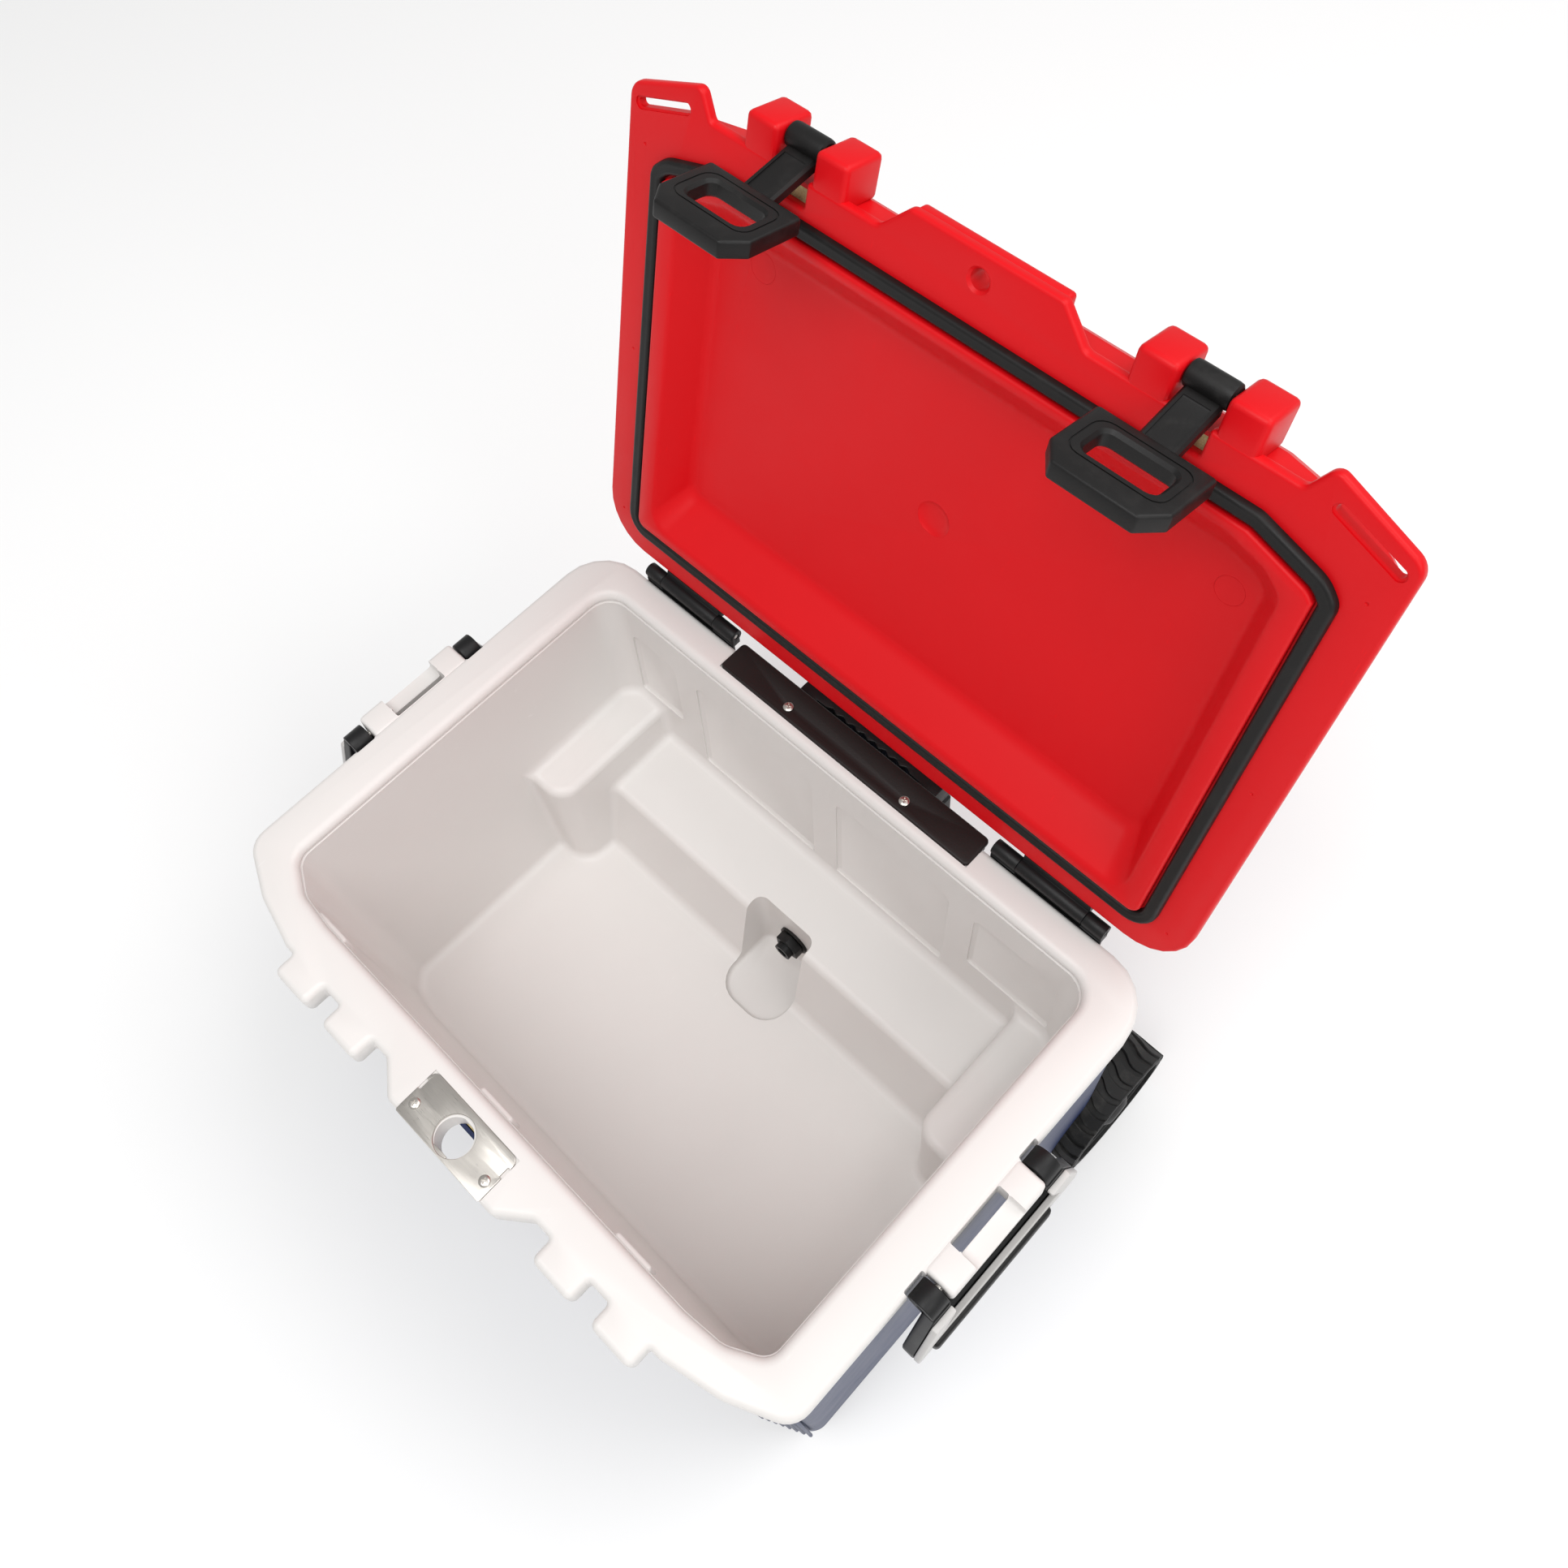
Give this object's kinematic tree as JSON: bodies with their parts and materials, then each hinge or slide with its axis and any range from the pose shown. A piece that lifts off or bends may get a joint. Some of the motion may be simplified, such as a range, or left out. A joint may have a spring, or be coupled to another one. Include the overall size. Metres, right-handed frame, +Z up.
{
  "type": "cooler on wheels",
  "caption": "Insulated picnic cooler with a hinged lid, rubber latches, swinging side handles, a rear pull handle and wheels at one end of its base",
  "frame": {"origin": "on the floor, in the middle of the whole object's outer box with its lid open as made", "axes": "X runs along the box's length, the front with the latches faces -Y, Z is up"},
  "size_m": [0.686, 0.6134, 0.8115],
  "materials": {
    "navy_plastic": "moulded navy shell, satin",
    "white_plastic": "moulded off-white liner, low gloss",
    "red_plastic": "moulded red lid, low gloss",
    "black_plastic": "moulded black plastic, fine grain",
    "black_rubber": "black rubber, matt",
    "brown_plastic": "black-brown moulded cover, matt",
    "grey_plastic": "light grey moulded trim, satin",
    "steel": "satin stainless steel",
    "foam": "rigid foam, hidden inside the walls",
    "tyre": "hard black tread"
  },
  "bodies": {
    "cooler_box": {"axle": "steel", "axle_clamp_left": "black_plastic", "axle_clamp_right": "black_plastic", "body_foam": "foam", "body_shell": "navy_plastic", "drain_nut": "black_plastic", "drain_seal": "black_rubber", "drain_tube": "black_plastic", "foot_left": "black_rubber", "foot_right": "black_rubber", "hinge_base_left": "black_plastic", "hinge_base_right": "black_plastic", "hinge_pin_left": "steel", "hinge_pin_right": "steel", "inner_tub": "white_plastic", "lock_plate": "steel", "lock_plate_screw_left": "steel", "lock_plate_screw_right": "steel", "pull_guide_left": "black_plastic", "pull_guide_right": "black_plastic", "pull_sleeve_left": "steel", "pull_sleeve_right": "steel", "rear_cover": "brown_plastic", "rear_cover_screw_left": "steel", "rear_cover_screw_right": "steel", "rim_frame": "white_plastic", "side_pin_back_left": "steel", "side_pin_back_right": "steel", "side_pin_front_left": "steel", "side_pin_front_right": "steel"},
    "lid": {"hinge_leaf_left": "black_plastic", "hinge_leaf_right": "black_plastic", "lid_cover": "red_plastic", "lid_foam": "foam", "lid_gasket": "black_rubber", "lid_panel": "red_plastic"},
    "latch_pin_left": {"latch_pin_left": "steel"},
    "latch_pin_right": {"latch_pin_right": "steel"},
    "latch_left": {"latch_left": "black_rubber"},
    "latch_right": {"latch_right": "black_rubber"},
    "side_handle_left": {"side_bail_left": "black_plastic", "side_trim_left": "grey_plastic", "side_grip_left": "black_rubber"},
    "side_handle_right": {"side_bail_right": "black_plastic", "side_trim_right": "grey_plastic", "side_grip_right": "black_rubber"},
    "pull_handle": {"pull_grip": "black_plastic", "pull_rod_left": "steel", "pull_rod_right": "steel"},
    "wheel_left": {"wheel_left": "black_plastic", "tyre_left": "tyre", "wheel_cap_left": "black_plastic"},
    "wheel_right": {"wheel_right": "black_plastic", "tyre_right": "tyre", "wheel_cap_right": "black_plastic"},
    "drain_cap": {"drain_cap": "black_plastic"}
  },
  "joints": [
    {"name": "lid_hinge", "type": "hinge", "parent": "cooler_box", "child": "lid", "pos_m": [0, 0.1488, 0.3715], "axis": [1, 0, 0], "range_deg": [0, 105.85]},
    {"name": "latch_pin_turn_left", "type": "hinge", "parent": "lid", "child": "latch_pin_left", "pos_m": [-0.1545, 0.28531, 0.79741], "axis": [-1, 0, 0], "range_deg": [0, 60]},
    {"name": "latch_swing_left", "type": "hinge", "parent": "latch_pin_left", "child": "latch_left", "pos_m": [-0.1545, 0.28531, 0.79741], "axis": [-1, 0, 0], "range_deg": [-25, 78]},
    {"name": "latch_pin_turn_right", "type": "hinge", "parent": "lid", "child": "latch_pin_right", "pos_m": [0.1545, 0.28531, 0.79741], "axis": [-1, 0, 0], "range_deg": [0, 60]},
    {"name": "latch_swing_right", "type": "hinge", "parent": "latch_pin_right", "child": "latch_right", "pos_m": [0.1545, 0.28531, 0.79741], "axis": [-1, 0, 0], "range_deg": [-25, 78]},
    {"name": "side_handle_swing_left", "type": "hinge", "parent": "cooler_box", "child": "side_handle_left", "pos_m": [-0.321, -0.0717, 0.353], "axis": [0, 1, 0], "range_deg": [0, 95]},
    {"name": "side_handle_swing_right", "type": "hinge", "parent": "cooler_box", "child": "side_handle_right", "pos_m": [0.321, -0.0717, 0.353], "axis": [0, -1, 0], "range_deg": [0, 95]},
    {"name": "pull_handle_slide", "type": "slide", "parent": "cooler_box", "child": "pull_handle", "axis": [0, 0, 1], "range_m": [0, 0.018]},
    {"name": "wheel_spin_left", "type": "hinge", "parent": "cooler_box", "child": "wheel_left", "pos_m": [-0.3, 0.1328, 0.067], "axis": [1, 0, 0], "continuous": true},
    {"name": "wheel_spin_right", "type": "hinge", "parent": "cooler_box", "child": "wheel_right", "pos_m": [0.3, 0.1328, 0.067], "axis": [1, 0, 0], "continuous": true},
    {"name": "drain_cap_turn", "type": "hinge", "parent": "cooler_box", "child": "drain_cap", "pos_m": [0.006, 0.1424, 0.115], "axis": [0, 1, 0], "range_deg": [0, 350]}
  ],
  "couplings": [
    {"joint": "latch_pin_turn_left", "follows": "lid_hinge", "ratio": 0.56684},
    {"joint": "latch_pin_turn_right", "follows": "lid_hinge", "ratio": 0.56684}
  ]
}
